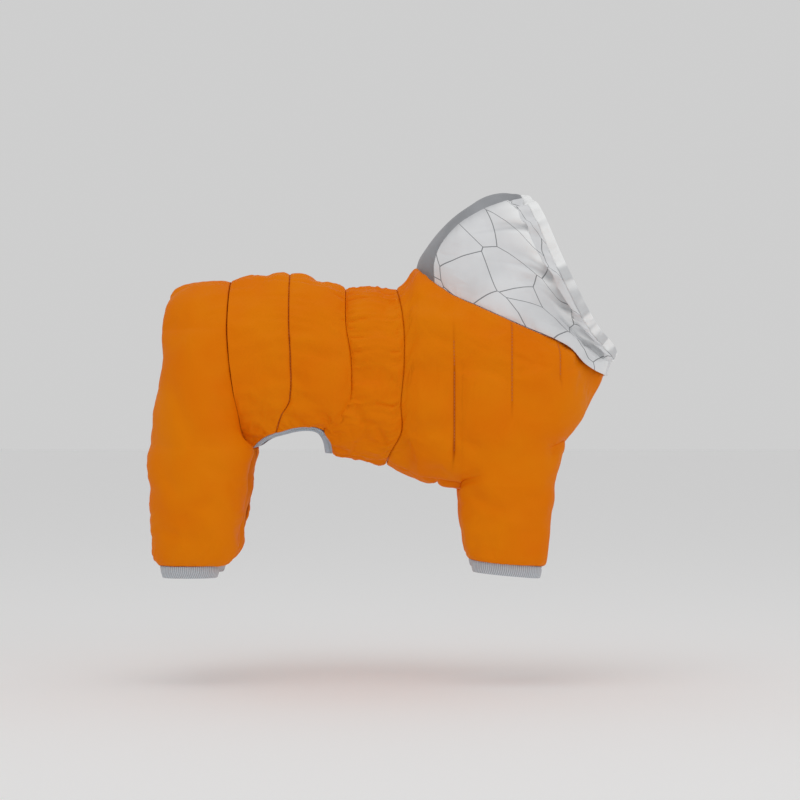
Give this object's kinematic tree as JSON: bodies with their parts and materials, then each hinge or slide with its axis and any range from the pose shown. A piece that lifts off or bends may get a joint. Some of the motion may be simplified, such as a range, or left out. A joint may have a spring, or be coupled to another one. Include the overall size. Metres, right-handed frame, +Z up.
{
  "type": "dog jumpsuit",
  "caption": "Padded, quilted dog jumpsuit with sleeves to the ankles, ribbed cuffs, an open belly, a back zip and a pale reflective hood.",
  "frame": {"origin": "on the middle of the wearer's back, at the waist of the suit", "axes": "+X to the head end, +Y to the left flank, +Z up"},
  "size_m": [0.5335, 0.197, 0.439],
  "materials": {
    "padded_shell": "smooth, soft sheen",
    "cuff_knit": "ribbed, matte",
    "binding_knit": "ribbed, matte",
    "reflective_cloth": "beaded, bright",
    "zip_tape": "woven, matte",
    "zip_metal": "satin"
  },
  "bodies": {
    "suit": {"rump_left": "padded_shell", "rump_right": "padded_shell", "inner_leg_left": "padded_shell", "inner_leg_right": "padded_shell", "loin_left": "padded_shell", "loin_right": "padded_shell", "waist_left": "padded_shell", "waist_right": "padded_shell", "chest_left": "padded_shell", "chest_right": "padded_shell", "sleeve_left": "padded_shell", "sleeve_right": "padded_shell", "belly": "padded_shell", "hind_cuff_left": "cuff_knit", "hind_cuff_right": "cuff_knit", "fore_cuff_left": "cuff_knit", "fore_cuff_right": "cuff_knit", "binding": "binding_knit", "hood_side_left": "reflective_cloth", "hood_side_right": "reflective_cloth", "hood_gusset": "reflective_cloth", "hood_casing": "reflective_cloth", "zip_tape": "zip_tape", "zip_slider": "zip_metal"},
    "zip_pull": {"zip_pull": "zip_metal"}
  },
  "joints": [
    {"name": "zip_pull_hinge", "type": "hinge", "parent": "suit", "child": "zip_pull", "pos_m": [-0.18669, 0, 0.00846], "axis": [0, 1, 0], "range_deg": [0, 150]}
  ]
}
